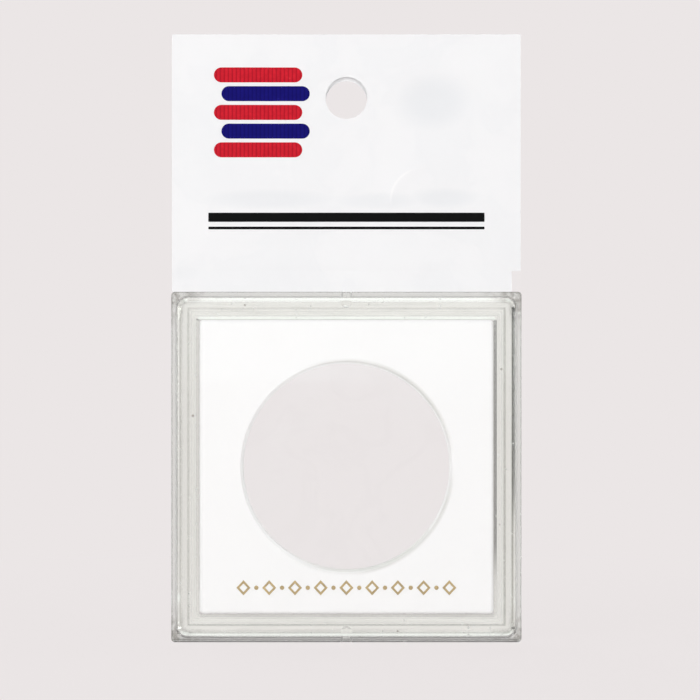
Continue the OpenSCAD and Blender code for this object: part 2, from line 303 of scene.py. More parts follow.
def makeRimTone():
    shape = rimShape
    tones = ("Window", "Rim", "Side", "Streak", "BandShade", "FootShade", "Wall", "Gap", "Corner")
    group, takes, gives = startGroup(
        "rimTone",
        [("Facing", "Vector", None)]
        + [(label, "Color", (1, 1, 1, 1)) for label in tones]
        + [("Half", "Float", shape["half"]), ("Rim Width", "Float", shape["width"])],
        [("Color", "Color"), ("Wall Mask", "Float"), ("Rim Mask", "Float"), ("Frost Mask", "Float")],
    )
    coords, mitre = takes["Coords"], shape["mitre"]
    half, width = takes["Half"], takes["Rim Width"]
    x, y, z = splitXyz(group, coords)
    aside = doMath(group, "ABSOLUTE", x)
    lift = doMath(group, "SUBTRACT", z, half)
    upward = doMath(group, "ABSOLUTE", lift)
    inward = doMath(group, "SUBTRACT", half, largest(group, aside, upward))
    rim = rampBetween(group, inward, times(group, width, shape["fade"]), width, 1.0, 0.0)
    _, faceY, faceZ = splitXyz(group, takes["Facing"])
    flat = doMath(group, "ABSOLUTE", faceY)
    level = rampBetween(group, flat, *shape["flatFacing"])
    wall = times(group, rampBetween(group, flat, *shape["wallFacing"], 1.0, 0.0), rim)
    # streaks: close across the rim, long along it
    spread = addNode(group, "ShaderNodeCombineXYZ")
    along = times(group, doMath(group, "ADD", x, z), shape["streakAlong"])
    deepened = times(group, y, shape["streakDeep"])
    for slot, value in enumerate((inward, along, deepened)):
        group.links.new(value, spread.inputs[slot])
    streaks = addNoise(group, spread.outputs[0], shape["streakScale"], {"Detail": 2.0, "Roughness": 0.6})
    streak = times(group, rampBetween(group, streaks, *shape["streakSpan"]), rim)
    # painted shade in the gaps, drawn inside the case and mostly off its walls
    rightward = doMath(group, "SUBTRACT", x, upward)
    dustAndShade = rampBetween(group, rightward, -mitre, mitre, *shape["dustAndShade"])
    topward = doMath(group, "SUBTRACT", lift, aside)
    dustAndShade = times(group, dustAndShade, rampBetween(group, topward, -mitre, mitre, 1.0, shape["shadeAtTop"]))
    gaps = []
    for middle, reach, strength in [*shape["gaps"], (*shape["groove"], dustAndShade)]:
        off = offFrom(group, inward, middle)
        gaps.append(rampBetween(group, off, reach * shape["gapCore"], reach, strength, 0.0))
    front, back = shape["inside"]
    inside = times(group, doMath(group, "GREATER_THAN", y, front), doMath(group, "LESS_THAN", y, back))
    offWalls = rampBetween(group, flat, *shape["flatFacing"], shape["gapOnWalls"], 1.0)
    deep = times(group, largest(group, *gaps), inside, offWalls)
    # painted shade: left and right are tinted a little darker than top and foot
    sides = rampBetween(group, doMath(group, "SUBTRACT", aside, upward), -mitre, mitre)
    sides = times(group, sides, rampBetween(group, inward, *shape["sideFrom"]), level)
    color = mixColor(group, rim, takes["Window"], mixColor(group, sides, takes["Rim"], takes["Side"]))
    color = mixColor(group, streak, color, takes["Streak"])
    # painted shade: the outer wall is tinted darker, darkest at the foot where the case stands
    band = times(group, rampBetween(group, inward, *shape["bandTo"], 1.0, 0.0), level)
    foot = rampBetween(group, doMath(group, "ADD", lift, aside), -mitre, mitre, 1.0, 0.0)
    color = mixColor(group, band, color, mixColor(group, foot, takes["BandShade"], takes["FootShade"]))
    color = mixColor(group, wall, color, takes["Wall"])
    color = mixColor(group, deep, color, takes["Gap"])
    # grime that gathers in the corners
    corner = doMath(group, "SUBTRACT", doMath(group, "ADD", aside, upward), half)
    corner = rampBetween(group, corner, doMath(group, "SUBTRACT", half, shape["cornerFrom"]),
                         doMath(group, "SUBTRACT", half, shape["cornerFull"]))
    smudges = addNoise(group, coords, shape["smudgeScale"], {"Detail": 3.0, "Roughness": 0.65})
    smudge = times(group, rampBetween(group, smudges, *shape["smudgeSpan"]), corner,
                   rampBetween(group, inward, *shape["smudgeTo"], 1.0, 0.0))
    group.links.new(mixColor(group, smudge, color, takes["Corner"]), gives["Color"])
    group.links.new(wall, gives["Wall Mask"])
    group.links.new(rim, gives["Rim Mask"])
    # worn matt
    upright = doMath(group, "ABSOLUTE", faceZ)
    sole = times(group, doMath(group, "LESS_THAN", z, shape["soleHigh"]),
                 doMath(group, "GREATER_THAN", upright, shape["soleFacing"]))
    least, most = shape["bevelFacing"]
    sloped = times(group, doMath(group, "GREATER_THAN", flat, least), doMath(group, "LESS_THAN", flat, most))
    worn = [sole, times(group, sloped, doMath(group, "LESS_THAN", inward, shape["bevelTo"]))]
    for middle in shape["steps"]:
        off = offFrom(group, inward, middle)
        edge = rampBetween(group, off, *shape["stepEdge"], shape["stepWear"], 0.0)
        worn.append(times(group, edge, inside))
    group.links.new(largest(group, *worn), gives["Frost Mask"])
    return group


scuffs, flecks, grain = makeScuffs(), makeFlecks(), makeGrain()
crinkle, mottle, spotReach = makeCrinkle(), makeMottle(), makeSpotReach()
rimTone = makeRimTone()
print("shared effects ready")


def startMaterial(name):
    material = bpy.data.materials.new(name)
    material.use_nodes = True
    tree = material.node_tree
    tree.nodes.clear()
    coords = addNode(tree, "ShaderNodeTexCoord").outputs["Object"]
    return material, tree, coords, addNode(tree, "ShaderNodeOutputMaterial")


def startPiece(name, values):
    material, tree, coords, output = startMaterial(name)
    shader = addNode(tree, "ShaderNodeBsdfPrincipled", values)
    tree.links.new(shader.outputs[0], output.inputs["Surface"])
    return material, tree, coords, shader, output


# bump: strength and depth
def dressShader(tree, shader, color, rough, height=None, bump=(0.0, 0.0)):
    tree.links.new(color, shader.inputs["Base Color"])
    tree.links.new(rough, shader.inputs["Roughness"])
    if height is not None:
        raised = addNode(tree, "ShaderNodeBump", {"Strength": bump[0], "Distance": bump[1]})
        tree.links.new(height, raised.inputs["Height"])
        tree.links.new(raised.outputs["Normal"], shader.inputs["Normal"])


# clear plastic that lets the lamps' light through, and the light between matt pieces
def finishClear(tree, shader, output, letThrough):
    path = addNode(tree, "ShaderNodeLightPath")
    through = addNode(tree, "ShaderNodeBsdfTransparent", {"Color": (letThrough, letThrough, letThrough, 1)})
    surface = shader.outputs[0]
    for ray in ("Is Shadow Ray", "Is Diffuse Ray"):
        choose = addNode(tree, "ShaderNodeMixShader")
        tree.links.new(path.outputs[ray], choose.inputs[0])
        tree.links.new(surface, choose.inputs[1])
        tree.links.new(through.outputs[0], choose.inputs[2])
        surface = choose.outputs[0]
    tree.links.new(surface, output.inputs["Surface"])


# clear shells: back and front mouldings
clearShells = {
    "back_shell": {"scuffs": 0.16, "flecks": 0.1},
    "front_shell": {"scuffs": 0.2, "flecks": 0.08},
    "ior": 1.55, "letThrough": 1.0, "wallRough": 0.16, "frostRough": 0.75, "bump": (0.03, 0.00002),
    "scuffScale": 55.0, "polish": 0.015, "fleckScale": 420.0, "fleckSize": 0.13,
    "nicks": {"Scale": 750.0, "Share": 0.16, "Size": 0.2},
    # the side, outer-wall band, foot and gap tones are painted shade
    "tones": {"Window": (0.998, 0.998, 0.997), "Rim": (0.982, 0.996, 0.972), "Side": (0.945, 0.957, 0.935),
              "Streak": (0.94, 0.955, 0.93), "BandShade": (0.82, 0.845, 0.82), "FootShade": (0.66, 0.68, 0.66),
              "Wall": (0.945, 0.955, 0.935), "Gap": (0.56, 0.57, 0.53), "Corner": (0.45, 0.45, 0.42)},
    "grime": (0.32, 0.3, 0.26),
}


def dressClearShell(nodeName):
    look = clearShells[nodeName]
    material, tree, coords, shader, output = startPiece(
        "clear_" + nodeName, {"IOR": clearShells["ior"], "Transmission Weight": 1.0})
    scuffed = placeGroup(tree, scuffs, coords, {
        "Scale": clearShells["scuffScale"], "Amount": look["scuffs"], "Base": clearShells["polish"]})
    dusty = placeGroup(tree, flecks, coords, {
        "Scale": clearShells["fleckScale"], "Share": look["flecks"], "Size": clearShells["fleckSize"]})
    nicked = placeGroup(tree, flecks, coords, clearShells["nicks"])
    tones = {name: (*tone, 1) for name, tone in clearShells["tones"].items()}
    toned = placeGroup(tree, rimTone, coords, tones)
    tree.links.new(addNode(tree, "ShaderNodeTexCoord").outputs["Normal"], toned.inputs["Facing"])
    rim, wall = toned.outputs["Rim Mask"], toned.outputs["Wall Mask"]
    specks = times(tree, dusty.outputs["Mask"], rim)
    color = mixColor(tree, specks, toned.outputs["Color"], clearShells["grime"])
    frost = largest(tree, toned.outputs["Frost Mask"], times(tree, nicked.outputs["Mask"], rim))
    rough = largest(tree, scuffed.outputs["Roughness"], times(tree, wall, clearShells["wallRough"]),
                    times(tree, frost, clearShells["frostRough"]))
    marks = largest(tree, scuffed.outputs["Height"], wall)
    dressShader(tree, shader, color, rough, marks, clearShells["bump"])
    finishClear(tree, shader, output, clearShells["letThrough"])
    cadNodes[nodeName].data.materials[0] = material


for shellName in ("back_shell", "front_shell"):
    dressClearShell(shellName)
print("clear shells dressed")


# distance from a spot in x and z (mm), 1 on the ellipse round it
def ellipseReach(tree, coords, x, z, halfX, halfZ):
    place = {"Middle": (x * mm, 0, z * mm), "Per Half": (1 / (halfX * mm), 0, 1 / (halfZ * mm))}
    return placeGroup(tree, spotReach, coords, place).outputs["Reach"]


# white insert plate
insertLook = {
    "ior": 1.5, "white": (0.955, 0.965, 0.96), "grain": {"Scale": 2600.0, "Contrast": 0.015},
    "rough": (0.3, 0.7, 0.42, 0.52), "bump": (0.08, 0.00003),
    "dustAndShade": {"Scale": 260.0, "Share": 0.002, "Size": 0.05}, "dustTone": (0.72, 0.71, 0.69),
    # the coin seat's centre and radius, and the shade round its edge, in patches
    "seat": (0.0, 32.5, 19.2), "seatShade": (0.72, 0.73, 0.7),
    "shadeFrom": (1.004, 1.018), "shadeTo": (1.022, 1.06), "patchScale": 48.0, "patches": (0.36, 0.62),
    # it lies on the right of the seat, and on the wall at the seat's foot
    "shadeAside": (-0.013, 0.001), "wallTo": (1.012, 1.022), "wallBelow": (0.015, 0.024),
}


def seatShade(tree, coords):
    x, z, radius = insertLook["seat"]
    reach = ellipseReach(tree, coords, x, z, radius, radius)
    patches = addNoise(tree, coords, insertLook["patchScale"], {"Detail": 2.0})
    ring = times(tree, rampBetween(tree, reach, *insertLook["shadeFrom"]),
                 rampBetween(tree, reach, *insertLook["shadeTo"], 1.0, 0.0),
                 rampBetween(tree, patches, *insertLook["patches"]))
    across, _, high = splitXyz(tree, coords)
    wall = times(tree, rampBetween(tree, reach, *insertLook["wallTo"], 1.0, 0.0),
                 rampBetween(tree, high, *insertLook["wallBelow"], 1.0, 0.0))
    return times(tree, largest(tree, ring, wall), rampBetween(tree, across, *insertLook["shadeAside"]))


def dressInsert():
    material, tree, coords, shader, _ = startPiece("satin_white_insert", {"IOR": insertLook["ior"]})
    grainy = placeGroup(tree, grain, coords, insertLook["grain"])
    dusty = placeGroup(tree, flecks, coords, insertLook["dustAndShade"])
    white = mixColor(tree, 1.0, insertLook["white"], grainy.outputs["Tone"], "MULTIPLY")
    white = mixColor(tree, seatShade(tree, coords), white, insertLook["seatShade"])
    white = mixColor(tree, dusty.outputs["Mask"], white, insertLook["dustTone"])
    rough = rampBetween(tree, grainy.outputs["Height"], *insertLook["rough"])
    dressShader(tree, shader, white, rough, grainy.outputs["Height"], insertLook["bump"])
    cadNodes["insert_plate"].data.materials[0] = material


# hot-stamped gold row
foilLook = {
    "stamp": {"Ink": (0.46, 0.345, 0.155, 1), "Ground": (0.8, 0.77, 0.7, 1), "Scale": 1500.0,
              "Pinholes": 0.5},
    "grain": {"Scale": 3200.0, "Contrast": 0.1}, "bump": (0.2, 0.00003),
}


def dressFoil():
    material, tree, coords, shader, _ = startPiece("stamped_gold_foil", {"Metallic": 1.0})
    pressed = placeGroup(tree, mottle, coords, foilLook["stamp"])
    grainy = placeGroup(tree, grain, coords, foilLook["grain"])
    gold = mixColor(tree, 1.0, pressed.outputs["Color"], grainy.outputs["Tone"], "MULTIPLY")
    rough = pressed.outputs["Roughness"]
    dressShader(tree, shader, gold, rough, grainy.outputs["Height"], foilLook["bump"])
    cadNodes["foil_ornament"].data.materials[0] = material


dressInsert()
dressFoil()
print("insert and foil dressed")


# sheet meshes: flat quads in x and z (mm), then two skins and the edge between them
def gridLines(low, high, step):
    count = max(1, round((high - low) / step))
    return [low + (high - low) * i / count for i in range(count + 1)]


def plainSheet(xs, zs):
    points = [(x, z) for z in zs for x in xs]
    wide = len(xs)
    quads = []
    for j in range(len(zs) - 1):
        for i in range(wide - 1):
            a = j * wide + i
            quads.append((a, a + 1, a + wide + 1, a + wide))
    return points, quads


def onlyUsed(points, quads):
    used = sorted({spot for quad in quads for spot in quad})
    place = {spot: k for k, spot in enumerate(used)}
    return [points[spot] for spot in used], [tuple(place[spot] for spot in quad) for quad in quads]


# the grid round a hole gives way to a block of rings
holeBlock = {"reach": 1.7, "rings": 5, "crowding": 0.8}


def holedSheet(xs, zs, hole):
    holeX, holeZ, radius = hole
    points, quads = plainSheet(xs, zs)
    wide = len(xs)
    reach = radius * holeBlock["reach"]
    left = max(i for i, x in enumerate(xs) if x <= holeX - reach)
    right = min(i for i, x in enumerate(xs) if x >= holeX + reach)
    low = max(j for j, z in enumerate(zs) if z <= holeZ - reach)
    high = min(j for j, z in enumerate(zs) if z >= holeZ + reach)
    kept = []
    for j in range(len(zs) - 1):
        for i in range(wide - 1):
            if not (left <= i < right and low <= j < high):
                kept.append(quads[j * (wide - 1) + i])
    # the block's rim, counter-clockwise, joined to the hole by rings
    rim = [low * wide + i for i in range(left, right)]
    rim += [j * wide + right for j in range(low, high)]
    rim += [high * wide + i for i in range(right, left, -1)]
    rim += [j * wide + left for j in range(high, low, -1)]
    outer = rim
    for ring in range(1, holeBlock["rings"] + 1):
        share = (ring / holeBlock["rings"]) ** holeBlock["crowding"]
        inner = []
        for spot in rim:
            x, z = points[spot]
            away = math.hypot(x - holeX, z - holeZ)
            edge = (holeX + (x - holeX) / away * radius, holeZ + (z - holeZ) / away * radius)
            inner.append(len(points))
            points.append((x + (edge[0] - x) * share, z + (edge[1] - z) * share))
        for k in range(len(rim)):
            nxt = (k + 1) % len(rim)
            kept.append((outer[k], outer[nxt], inner[nxt], inner[k]))
        outer = inner
    return onlyUsed(points, kept)


def sheetMesh(name, points, quads, frontAt, backAt, material):
    count = len(points)
    verts = [(x * mm, frontAt(x, z) * mm, z * mm) for x, z in points]
    verts += [(x * mm, backAt(x, z) * mm, z * mm) for x, z in points]
    faces = list(quads) + [tuple(count + spot for spot in reversed(quad)) for quad in quads]
    sides = {}
    for quad in quads:
        for a, b in zip(quad, quad[1:] + quad[:1]):
            sides[(a, b)] = True
    for a, b in sides:
        if (b, a) not in sides:
            faces.append((b, a, count + a, count + b))
    mesh = bpy.data.meshes.new(name)
    mesh.from_pydata(verts, [], faces)
    mesh.validate()
    skins = 2 * len(quads)
    cutEdges = set()
    for face in mesh.polygons:
        face.use_smooth = face.index < skins
        if face.index >= skins:
            cutEdges.update(face.edge_keys)
    for edge in mesh.edges:
        edge.use_edge_sharp = edge.key in cutEdges
    mesh.materials.append(material)
    piece = bpy.data.objects.new(name, mesh)
    bpy.context.scene.collection.objects.link(piece)
    return piece


# header: two white plies sealed along the edges, with soft dents and a crease or two (mm)
header = {
    "half": 32.6, "top": 113.2, "foot": 65.05, "frontFoot": 69.0, "notch": 30.9, "notchStep": 0.85,
    "frontAt": 3.025, "backAt": 3.13, "thick": 0.09, "step": 0.8,
    "hole": (0.0, 101.3, 3.9), "backHoleDrop": 0.75,
    # close rows low on the back ply, and the ends of a strip (m)
    "bendTop": 66.45, "bendStep": 0.1, "bendFrom": (0, 0.003175, 0.0652), "bendTo": (0, 0.003175, 0.0662),
    # the front ply's foot: where it closes on the back ply, how far, and the share of its thickness left
    "closing": (69.0, 70.6), "closeBy": 0.03, "footThin": 0.15,
    # centre x, centre z, half width, half height, tilt in degrees, depth towards the back
    "dents": [(16.2, 100.6, 8.0, 6.2, 8, 0.42), (13.2, 102.2, 2.3, 1.7, 0, 0.12),
              (-19.0, 82.2, 8.5, 2.0, 0, 0.16), (-4.0, 82.6, 9.0, 1.9, -3, 0.13),
              (18.5, 82.6, 6.0, 2.0, 4, 0.2), (20.5, 87.0, 5.0, 3.6, -20, 0.1),
              (9.9, 74.6, 1.4, 0.5, 0, -0.07), (4.0, 71.6, 9.0, 2.2, 0, -0.12),
              (-14.0, 98.6, 9.5, 7.0, 0, 0.12)],
    # creases: points of a polyline, width, rise towards the camera
    "creases": [([(8.2, 82.4), (9.0, 84.8), (10.8, 86.9), (13.6, 88.4)], 0.75, 0.2),
                ([(14.2, 87.6), (14.4, 85.2), (13.4, 83.2)], 0.6, -0.08)],
    # a row of upright folds near the foot: depth, height, half height, pitch, shift, and its drift
    "folds": 0.16, "foldsAt": (69.5, 4.5), "foldPitch": 4.1, "foldShift": 1.3, "foldDrift": (0.6, 7.0),
    # ripples: depth, length in x and z, seed
    "ripples": [(0.05, 7.0, 5.0, 3.1), (0.02, 2.6, 2.2, 8.4)],
    "bow": 0.25, "bowWide": 22.0, "bowRest": 0.4, "bowRise": (70, 112), "waveRise": (65.6, 71.0),
    "pillow": 0.3, "pillowFrom": (1.14, 7.6), "pillowRise": (70, 84),
}


def gauss(value):
    return math.exp(-value * value)


def nearLine(x, z, line):
    best = math.inf
    for (ax, az), (bx, bz) in zip(line, line[1:]):
        runX, runZ = bx - ax, bz - az
        t = ((x - ax) * runX + (z - az) * runZ) / (runX * runX + runZ * runZ)
        t = min(1.0, max(0.0, t))
        best = min(best, math.hypot(x - ax - t * runX, z - az - t * runZ))
    return best


def rise(low, high, value):
    t = min(1.0, max(0.0, (value - low) / (high - low)))
    return t * t * (3 - 2 * t)


def rippleAt(x, z, longX, longZ, seed):
    return noise.noise(Vector((x / longX, z / longZ, seed)))


def headerWave(x, z):
    deep = 0.0
    for cx, cz, halfX, halfZ, tilt, depth in header["dents"]:
        a = math.radians(tilt)
        u = (x - cx) * math.cos(a) + (z - cz) * math.sin(a)
        v = (z - cz) * math.cos(a) - (x - cx) * math.sin(a)
        deep += depth * gauss(math.hypot(u / halfX, v / halfZ))
    for line, width, lift in header["creases"]:
        deep -= lift * gauss(nearLine(x, z, line) / width)
    foldZ, foldHalf = header["foldsAt"]
    drift, driftLong = header["foldDrift"]
    phase = x / header["foldPitch"] + header["foldShift"] + drift * math.sin(x / driftLong)
    deep += header["folds"] * gauss((z - foldZ) / foldHalf) * math.sin(phase)
    for depth, longX, longZ, seed in header["ripples"]:
        deep += depth * rippleAt(x, z, longX, longZ, seed)
    bow = gauss(x / header["bowWide"]) - header["bowRest"]
    deep += header["bow"] * bow * rise(*header["bowRise"], z)
    return deep * rise(*header["waveRise"], z)


# how far each ply stands off: nothing in the sealed edges and at the foot
def headerPillow(x, z):
    edge = min(header["half"] - abs(x), header["top"] - z)
    return header["pillow"] * rise(*header["pillowFrom"], edge) * rise(*header["pillowRise"], z)


def plyThin(z):
    least = header["footThin"]
    return header["thick"] * (least + (0.5 - least) * rise(*header["closing"], z))


def frontPly(x, z):
    close = header["closeBy"] * (1 - rise(*header["closing"], z))
    return header["frontAt"] + close + headerWave(x, z) - headerPillow(x, z)


def backPly(x, z):
    return header["backAt"] + headerWave(x, z) + headerPillow(x, z)


headerLook = {
    "ior": 1.5, "white": (0.9, 0.908, 0.915), "shade": (0.815, 0.834, 0.852),
    "crinkle": {"Scale": 70.0}, "grain": {"Scale": 1800.0, "Contrast": 0.012},
    "clouds": (0.3, 0.75, 0.0, 0.35), "rough": (0.3, 0.7, 0.3, 0.42), "bump": (0.35, 0.0003),
    # painted shade: darker patches over the dents, along the crease band and at the foot's left corner: x,
    # z, half width, half height, strength
    "thin": [(16.2, 100.6, 9.5, 7.5, 0.9), (13.0, 102.3, 2.6, 2.0, 0.5), (-14.5, 82.4, 17.0, 2.8, 0.75),
             (6.0, 82.0, 12.0, 2.3, 0.6), (18.5, 82.6, 8.5, 2.8, 0.8), (-30.0, 68.5, 4.5, 2.6, 0.4)],
    "patchCore": 0.25,
    # painted highlight along a crease: an arc's centre, its radius and half width, and the patch it shows in
    "crease": {"white": (0.985, 0.985, 0.985), "centre": (14.5, 82.0), "radius": 6.25, "wide": 0.06,
               "patch": (9.6, 85.6, 4.6, 5.0, 0.6)},
}


# soft elliptical patch, strongest in its middle
def softPatch(tree, coords, x, z, halfX, halfZ, strength):
    reach = ellipseReach(tree, coords, x, z, halfX, halfZ)
    return rampBetween(tree, reach, headerLook["patchCore"], 1.0, strength, 0.0)


def makeHeaderFilm():
    material, tree, coords, shader, _ = startPiece("white_header_film", {"IOR": headerLook["ior"]})
    creased = placeGroup(tree, crinkle, coords, headerLook["crinkle"])
    grainy = placeGroup(tree, grain, coords, headerLook["grain"])
    clouds = [rampBetween(tree, creased.outputs["Height"], *headerLook["clouds"])]
    # painted shade: the patches mix the film towards its shade colour
    clouds += [softPatch(tree, coords, *patch) for patch in headerLook["thin"]]
    white = mixColor(tree, largest(tree, *clouds), headerLook["white"], headerLook["shade"])
    # painted highlight: a white arc along the crease
    crease = headerLook["crease"]
    reach = ellipseReach(tree, coords, *crease["centre"], crease["radius"], crease["radius"])
    arc = rampBetween(tree, offFrom(tree, reach, 1.0), 0.0, crease["wide"], 1.0, 0.0)
    arc = times(tree, arc, softPatch(tree, coords, *crease["patch"]))
    white = mixColor(tree, arc, white, crease["white"])
    white = mixColor(tree, 1.0, white, grainy.outputs["Tone"], "MULTIPLY")
    rough = rampBetween(tree, grainy.outputs["Height"], *headerLook["rough"])
    dressShader(tree, shader, white, rough, creased.outputs["Height"], headerLook["bump"])
    return material


whiteFilm = makeHeaderFilm()


def makeHeader():
    half, top, thin, step = header["half"], header["top"], header["thick"] / 2, header["step"]
    holeX, holeZ, radius = header["hole"]
    foot, notch, bendTop = header["frontFoot"], header["notch"], header["bendTop"]
    upper = gridLines(foot, top, step)
    points, quads = holedSheet(gridLines(-half, half, step), upper, header["hole"])
    front = sheetMesh("header_front_sheet", points, quads, lambda x, z: frontPly(x, z) - plyThin(z),
                      lambda x, z: frontPly(x, z) + plyThin(z), whiteFilm)
    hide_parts("header_front_ply")
    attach(front, "header")
    xs = gridLines(-half, notch, step) + [notch + header["notchStep"], half]
    zs = gridLines(header["foot"], bendTop, header["bendStep"])
    zs += gridLines(bendTop, foot, step)[1:] + upper[1:]
    points, quads = holedSheet(xs, zs, (holeX, holeZ - header["backHoleDrop"], radius))

    # the clear margin's corner is left out of the white sheet
    def inCorner(quad):
        return all(points[k][0] >= notch - 1e-6 and points[k][1] <= foot + 1e-6 for k in quad)

    points, quads = onlyUsed(points, [quad for quad in quads if not inCorner(quad)])
    back = sheetMesh("header_back_sheet", points, quads, lambda x, z: backPly(x, z) - thin,
                     lambda x, z: backPly(x, z) + thin, whiteFilm)
    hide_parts("header_back_ply")
    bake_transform(back)
    return front, back


headerSheets = makeHeader()
print("header sheets made")


# printed marks: thin slabs that follow the front ply (mm)
inkMarks = {
    "lift": 0.012, "thick": 0.018,
    "coinLong": 16.5, "coinHigh": 2.8, "pitch": 3.5, "shift": 1.4, "centre": (-16.5, 98.6), "coins": 5,
    "ruleHalf": 25.8, "heavy": (78.15, 79.85), "light": (76.75, 77.25), "ruleRound": 0.12,
    "endSteps": 8, "runSteps": 24, "rows": 6, "endHalf": 0.02,
    "red": (0.64, 0.016, 0.032), "blue": (0.008, 0.006, 0.17), "black": (0.004, 0.0045, 0.005),
    "ior": 1.48, "shine": 0.05, "print": {"Ground": (0.8, 0.8, 0.8, 1), "Scale": 1300.0, "Pinholes": 0.03},
    "reedScale": 420.0, "reedSpan": (0.55, 0.95, 0.0, 0.6), "reedTone": 0.5,
}


def makeInk(name, color, reeded):
    material, tree, coords, shader, _ = startPiece(
        name, {"IOR": inkMarks["ior"], "Specular IOR Level": inkMarks["shine"]})
    uneven = placeGroup(tree, mottle, coords, {"Ink": (*color, 1), **inkMarks["print"]})
    shade = uneven.outputs["Color"]
    if reeded:
        reeds = addNode(tree, "ShaderNodeTexWave", {"Scale": inkMarks["reedScale"], "Distortion": 0.0},
                        bands_direction="X")
        tree.links.new(coords, reeds.inputs["Vector"])
        deeper = tuple(inkMarks["reedTone"] * part for part in color)
        between = rampBetween(tree, reeds.outputs["Fac"], *inkMarks["reedSpan"])
        shade = mixColor(tree, between, shade, deeper)
    dressShader(tree, shader, shade, uneven.outputs["Roughness"])
    return material


def barPoints(cx, cz, long, high, radius, points, quads):
    endSteps, runSteps, rows = inkMarks["endSteps"], inkMarks["runSteps"], inkMarks["rows"]
    halfRun = long / 2 - radius
    turns = [math.pi / 2 * k / endSteps for k in range(endSteps + 1)]
    offsets = [-halfRun - radius * math.cos(turn) for turn in turns]
    offsets += [-halfRun + 2 * halfRun * k / runSteps for k in range(1, runSteps)]
    offsets += [halfRun + radius * math.sin(turn) for turn in turns]
    start = len(points)
    for off in offsets:
        over = max(0.0, abs(off) - halfRun)
        tall = high / 2 - radius + math.sqrt(max(0.0, radius * radius - over * over))
        tall = max(tall, inkMarks["endHalf"])
        points.extend((cx + off, cz - tall + 2 * tall * row / rows) for row in range(rows + 1))
    step = rows + 1
    for i in range(len(offsets) - 1):
        for row in range(rows):
            a = start + i * step + row
            quads.append((a, a + step, a + step + 1, a + 1))


def makeMark(name, bars, nodeName, material):
    points, quads = [], []
    for bar in bars:
        barPoints(*bar, points, quads)
    lift, thick, skin = inkMarks["lift"], inkMarks["thick"], header["thick"] / 2
    mark = sheetMesh(name, points, quads, lambda x, z: frontPly(x, z) - skin - lift - thick,
                     lambda x, z: frontPly(x, z) - skin - lift, material)
    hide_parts(nodeName)
    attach(mark, "header")
    return mark


def makeMarks():
    cx, cz = inkMarks["centre"]
    long, high = inkMarks["coinLong"], inkMarks["coinHigh"]
    coins = []
    for i in range(inkMarks["coins"]):
        z = cz + (i - (inkMarks["coins"] - 1) / 2) * inkMarks["pitch"]
        coins.append((cx + (i % 2) * inkMarks["shift"], z, long, high, high / 2))
    rules = []
    for low, top in (inkMarks["heavy"], inkMarks["light"]):
        rules.append((0.0, (low + top) / 2, 2 * inkMarks["ruleHalf"], top - low, inkMarks["ruleRound"]))
    redInk = makeInk("printed_red", inkMarks["red"], True)
    blueInk = makeInk("printed_blue", inkMarks["blue"], True)
    blackInk = makeInk("printed_black", inkMarks["black"], False)
    return [makeMark("printed_red_coins", coins[0::2], "header_mark_red", redInk),
            makeMark("printed_blue_coins", coins[1::2], "header_mark_blue", blueInk),
            makeMark("printed_black_rules", rules, "header_rule", blackInk)]


printedMarks = makeMarks()
print("printed marks made")


# clear film behind the case, and its margin beside the header's foot (mm)
film = {
    "half": 32.6, "foot": 0.6, "top": 65.03, "at": 3.165, "thick": 0.08, "step": 1.0,
    # swells and curled edges: depth, length in x and z, seed
    "swell": 0.06, "swells": (11.0, 13.0, 5.7), "topHeld": 4.0,
    "curl": 0.05, "curls": (9.0, 15.0, 1.9), "curlFrom": 31.0,
    "marginFoot": 65.05, "marginTop": 68.95, "marginGap": 0.02, "marginStepX": 0.4, "marginStepZ": 0.5,
}


def filmAt(x, z):
    swell = 0.5 + 0.5 * rippleAt(x, z, *film["swells"])
    curl = rise(film["curlFrom"], film["half"], abs(x)) * rippleAt(x, z, *film["curls"])
    held = rise(0.0, film["topHeld"], film["top"] - z)
    return film["at"] + film["swell"] * swell * held + film["curl"] * curl


filmLook = {
    "ior": 1.45, "letThrough": 0.99, "clear": (0.995, 0.995, 0.995), "cloud": (0.975, 0.975, 0.975),
    "clouds": (0.0, 1.0, 0.0, 0.5), "crinkle": {"Scale": 60.0}, "bump": (0.1, 0.0002),
    "scuffs": {"Scale": 45.0, "Amount": 0.2, "Base": 0.03},
}


def makeClearFilm():
    material, tree, coords, shader, output = startPiece(
        "clear_hanging_film", {"IOR": filmLook["ior"], "Transmission Weight": 1.0})
    creased = placeGroup(tree, crinkle, coords, filmLook["crinkle"])
    scuffed = placeGroup(tree, scuffs, coords, filmLook["scuffs"])
    cloudy = rampBetween(tree, creased.outputs["Ridge"], *filmLook["clouds"])
    color = mixColor(tree, cloudy, filmLook["clear"], filmLook["cloud"])
    rough = scuffed.outputs["Roughness"]
    dressShader(tree, shader, color, rough, creased.outputs["Height"], filmLook["bump"])
    finishClear(tree, shader, output, filmLook["letThrough"])
    return material


clearFilm = makeClearFilm()


def makeFilm():
    thin = film["thick"] / 2
    points, quads = plainSheet(gridLines(-film["half"], film["half"], film["step"]),
                               gridLines(film["foot"], film["top"], film["step"]))
    sheet = sheetMesh("hanging_film", points, quads, lambda x, z: filmAt(x, z) - thin,
                      lambda x, z: filmAt(x, z) + thin, clearFilm)
    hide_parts("hanger_film")
    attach(sheet, "hanger")
    xs = gridLines(header["notch"] + film["marginGap"], film["half"], film["marginStepX"])
    zs = gridLines(film["marginFoot"], header["bendTop"], header["bendStep"])
    zs += gridLines(header["bendTop"], film["marginTop"], film["marginStepZ"])[1:]
    points, quads = plainSheet(xs, zs)
    margin = sheetMesh("clear_margin", points, quads, lambda x, z: backPly(x, z) - thin,
                       lambda x, z: backPly(x, z) + thin, clearFilm)
    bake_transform(margin)
    return sheet, margin


hangingFilm, clearMargin = makeFilm()
print("clear film made")


